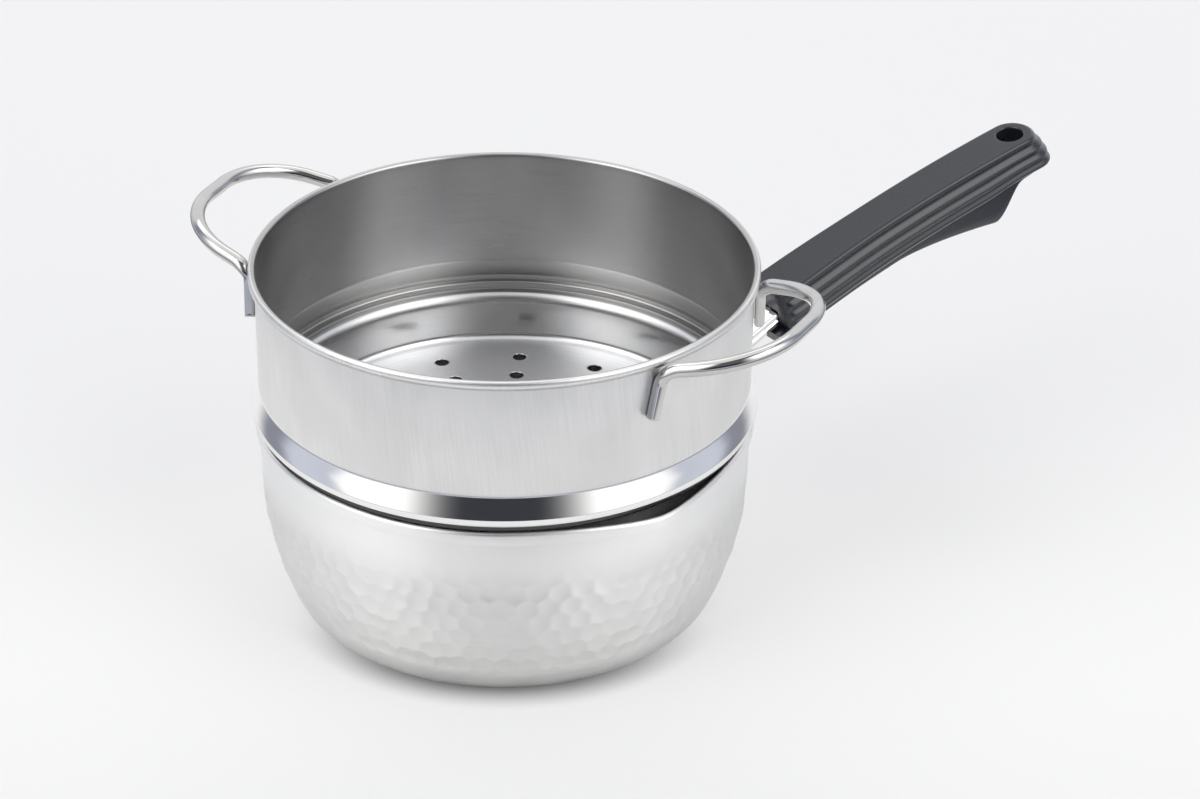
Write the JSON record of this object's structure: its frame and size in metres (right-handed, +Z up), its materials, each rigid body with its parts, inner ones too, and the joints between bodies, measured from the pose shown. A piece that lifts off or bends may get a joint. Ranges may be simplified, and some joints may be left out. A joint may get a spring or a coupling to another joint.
{
  "type": "steamer pot",
  "caption": "Stovetop steamer pot: a spouted hammered steel pan with a long moulded handle, and a perforated steamer basket with wire loops that nests on its rim.",
  "frame": {"origin": "centre of the pan's flat base, on the surface it stands on", "axes": "+Z up along the pan's axis, +X along the handle"},
  "size_m": [0.4009, 0.2535, 0.157],
  "materials": {
    "satin_steel": "satin, with a hammered wall",
    "brushed_sheet": "fine brushed, with a polished shoulder",
    "polished_steel": "bright polished",
    "plated_steel": "zinc plated",
    "black_phenolic": "moulded, semi-matt"
  },
  "bodies": {
    "pan": {"pan_body": "satin_steel", "handle_bracket": "polished_steel", "handle_grip": "black_phenolic", "tang_nut": "plated_steel", "grip_spring_washer": "plated_steel", "grip_screw": "plated_steel"},
    "basket": {"basket_body": "brushed_sheet", "loop_handle_front": "polished_steel", "loop_handle_back": "polished_steel"}
  },
  "joints": [
    {"name": "basket_lift", "type": "slide", "parent": "pan", "child": "basket", "axis": [0, 0, 1], "range_m": [0, 0.12]}
  ]
}
